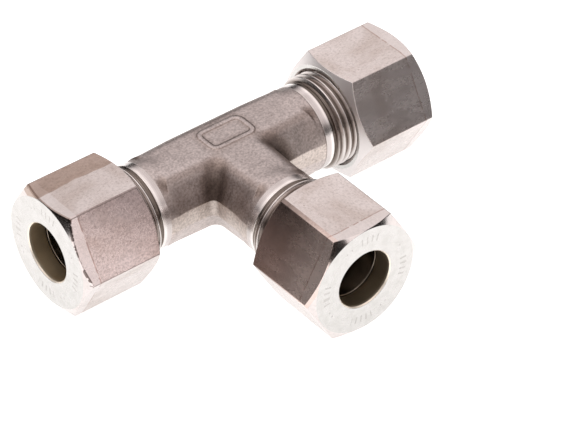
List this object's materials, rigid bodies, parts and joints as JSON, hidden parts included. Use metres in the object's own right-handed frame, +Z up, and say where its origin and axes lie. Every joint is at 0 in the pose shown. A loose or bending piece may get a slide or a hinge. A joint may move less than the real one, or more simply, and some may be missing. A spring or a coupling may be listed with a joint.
{
  "type": "compression fitting",
  "caption": "Equal tee compression fitting for metal tube: forged body with threaded cone stubs, hexagon union nuts that screw on, and loose cutting rings inside them.",
  "frame": {"origin": "centre of the bounding box's base, in the plane the nuts' lower flats rest on, with the nuts as stored", "axes": "+X along the run towards the right nut, +Z up through the body's 17 mm flat, -Y out along the branch"},
  "size_m": [0.0864, 0.0578, 0.024],
  "materials": {
    "forged_body": "stainless steel forging, fine blasted, matt",
    "union_nut": "stainless steel bar, turned ends and drawn flats, satin",
    "cutting_ring": "stainless steel, turned, satin"
  },
  "bodies": {
    "body": {"tee_body": "forged_body"},
    "ring_left": {"cutting_ring_left": "cutting_ring"},
    "nut_left": {"union_nut_left": "union_nut"},
    "ring_right": {"cutting_ring_right": "cutting_ring"},
    "nut_right": {"union_nut_right": "union_nut"},
    "ring_branch": {"cutting_ring_branch": "cutting_ring"},
    "nut_branch": {"union_nut_branch": "union_nut"}
  },
  "joints": [
    {"name": "ring_left_travel", "type": "slide", "parent": "body", "child": "ring_left", "axis": [-1, 0, 0], "range_m": [-0.00301, 0.00301]},
    {"name": "nut_left_screw", "type": "hinge", "parent": "ring_left", "child": "nut_left", "pos_m": [-0.03415, 0.01507, 0.012], "axis": [-1, 0, 0], "range_deg": [-720, 720]},
    {"name": "ring_right_travel", "type": "slide", "parent": "body", "child": "ring_right", "axis": [1, 0, 0], "range_m": [-0.00451, 0.00151]},
    {"name": "nut_right_screw", "type": "hinge", "parent": "ring_right", "child": "nut_right", "pos_m": [0.03415, 0.01507, 0.012], "axis": [1, 0, 0], "range_deg": [-1080, 360]},
    {"name": "ring_branch_travel", "type": "slide", "parent": "body", "child": "ring_branch", "axis": [0, -1, 0], "range_m": [-0.00451, 0.00151]},
    {"name": "nut_branch_screw", "type": "hinge", "parent": "ring_branch", "child": "nut_branch", "pos_m": [-0.00075, -0.01983, 0.012], "axis": [0, -1, 0], "range_deg": [-1080, 360]}
  ],
  "couplings": [
    {"joint": "ring_left_travel", "follows": "nut_left_screw", "m_per_rad": 0.00023873},
    {"joint": "ring_right_travel", "follows": "nut_right_screw", "m_per_rad": 0.00023873},
    {"joint": "ring_branch_travel", "follows": "nut_branch_screw", "m_per_rad": 0.00023873}
  ]
}
